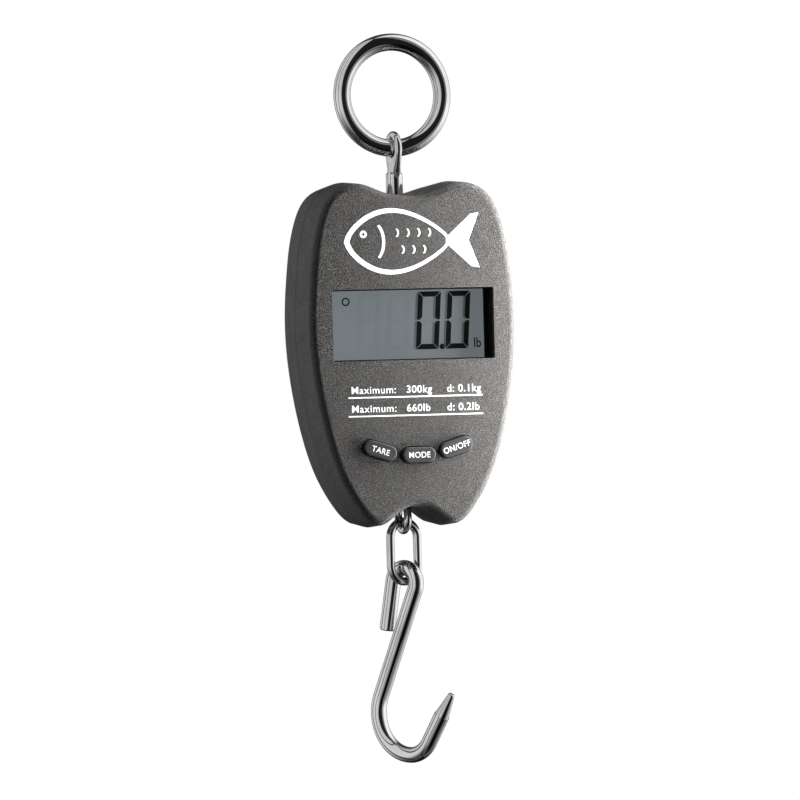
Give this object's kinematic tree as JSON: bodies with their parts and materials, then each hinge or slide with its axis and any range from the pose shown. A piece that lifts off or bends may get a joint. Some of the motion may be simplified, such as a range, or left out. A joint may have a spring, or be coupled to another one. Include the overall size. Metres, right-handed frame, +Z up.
{
  "type": "digital hanging fish scale",
  "caption": "Hand-held digital hanging scale for fish: a ring at the top, a display with push buttons in a waisted case, and an S-hook on a chain link.",
  "frame": {"origin": "inner top of the hanging ring, where the scale hangs from a bar or a hook", "axes": "+Z up along the load line, -Y out of the display, +X to the reader's right"},
  "size_m": [0.0898, 0.0391, 0.2955],
  "materials": {
    "polished_steel": "polished",
    "zinc_steel": "zinc plated",
    "grained_plastic": "fine spark-eroded grain",
    "black_screw": "black oxide",
    "clear_acrylic": "clear",
    "black_plastic": "satin",
    "lcd_glass": "satin glass",
    "contact_rubber": "soft",
    "board_laminate": "solder mask",
    "chip_resin": "moulded resin",
    "switch_plastic": "moulded",
    "button_plastic": "fine satin",
    "alloy": "milled",
    "gauge_foil": "amber film",
    "grey_cable": "sheath",
    "red_cable": "sheath",
    "black_cable": "sheath",
    "battery_can": "printed sleeve"
  },
  "bodies": {
    "ring": {"hanging_ring": "polished_steel"},
    "scale_body": {"top_eye_bolt": "polished_steel", "bottom_eye_bolt": "polished_steel", "top_lock_nut": "zinc_steel", "bottom_lock_nut": "zinc_steel", "front_case": "grained_plastic", "rear_case": "grained_plastic", "case_screws": "black_screw", "load_cell_screws": "black_screw", "display_window": "clear_acrylic", "display_bezel": "black_plastic", "lcd_panel": "lcd_glass", "lcd_connectors": "contact_rubber", "circuit_board": "board_laminate", "board_screws": "zinc_steel", "board_chips": "chip_resin", "tact_switches": "switch_plastic", "load_cell": "alloy", "strain_gauges": "gauge_foil", "load_cell_cable": "grey_cable", "battery_wire_positive": "red_cable", "battery_wire_negative": "black_cable", "battery_cells": "battery_can", "battery_contacts": "zinc_steel"},
    "tare_key": {"tare_button": "button_plastic", "tare_switch_stem": "switch_plastic"},
    "mode_key": {"mode_button": "button_plastic", "mode_switch_stem": "switch_plastic"},
    "power_key": {"power_button": "button_plastic", "power_switch_stem": "switch_plastic"},
    "door": {"battery_door": "grained_plastic"},
    "link": {"chain_link": "polished_steel"},
    "hook": {"s_hook": "polished_steel"}
  },
  "joints": [
    {"name": "body_swing", "type": "hinge", "parent": "ring", "child": "scale_body", "pos_m": [0, 0, -0.0395], "axis": [1, 0, 0], "range_deg": [-80, 80]},
    {"name": "tare_press", "type": "slide", "parent": "scale_body", "child": "tare_key", "axis": [0, 1, 0], "range_m": [0, 0.0008], "stiffness_N_per_m": 600},
    {"name": "mode_press", "type": "slide", "parent": "scale_body", "child": "mode_key", "axis": [0, 1, 0], "range_m": [0, 0.0008], "stiffness_N_per_m": 600},
    {"name": "power_press", "type": "slide", "parent": "scale_body", "child": "power_key", "axis": [0, 1, 0], "range_m": [0, 0.0008], "stiffness_N_per_m": 600},
    {"name": "door_lift", "type": "slide", "parent": "scale_body", "child": "door", "axis": [0, 1, 0], "range_m": [0, 0.03]},
    {"name": "link_swing", "type": "hinge", "parent": "scale_body", "child": "link", "pos_m": [0, 0, -0.1943], "axis": [0, 1, 0], "range_deg": [-50, 50]},
    {"name": "hook_swing", "type": "hinge", "parent": "link", "child": "hook", "pos_m": [0, 0, -0.215], "axis": [0.9659, 0.2588, 0], "range_deg": [-50, 50]}
  ]
}
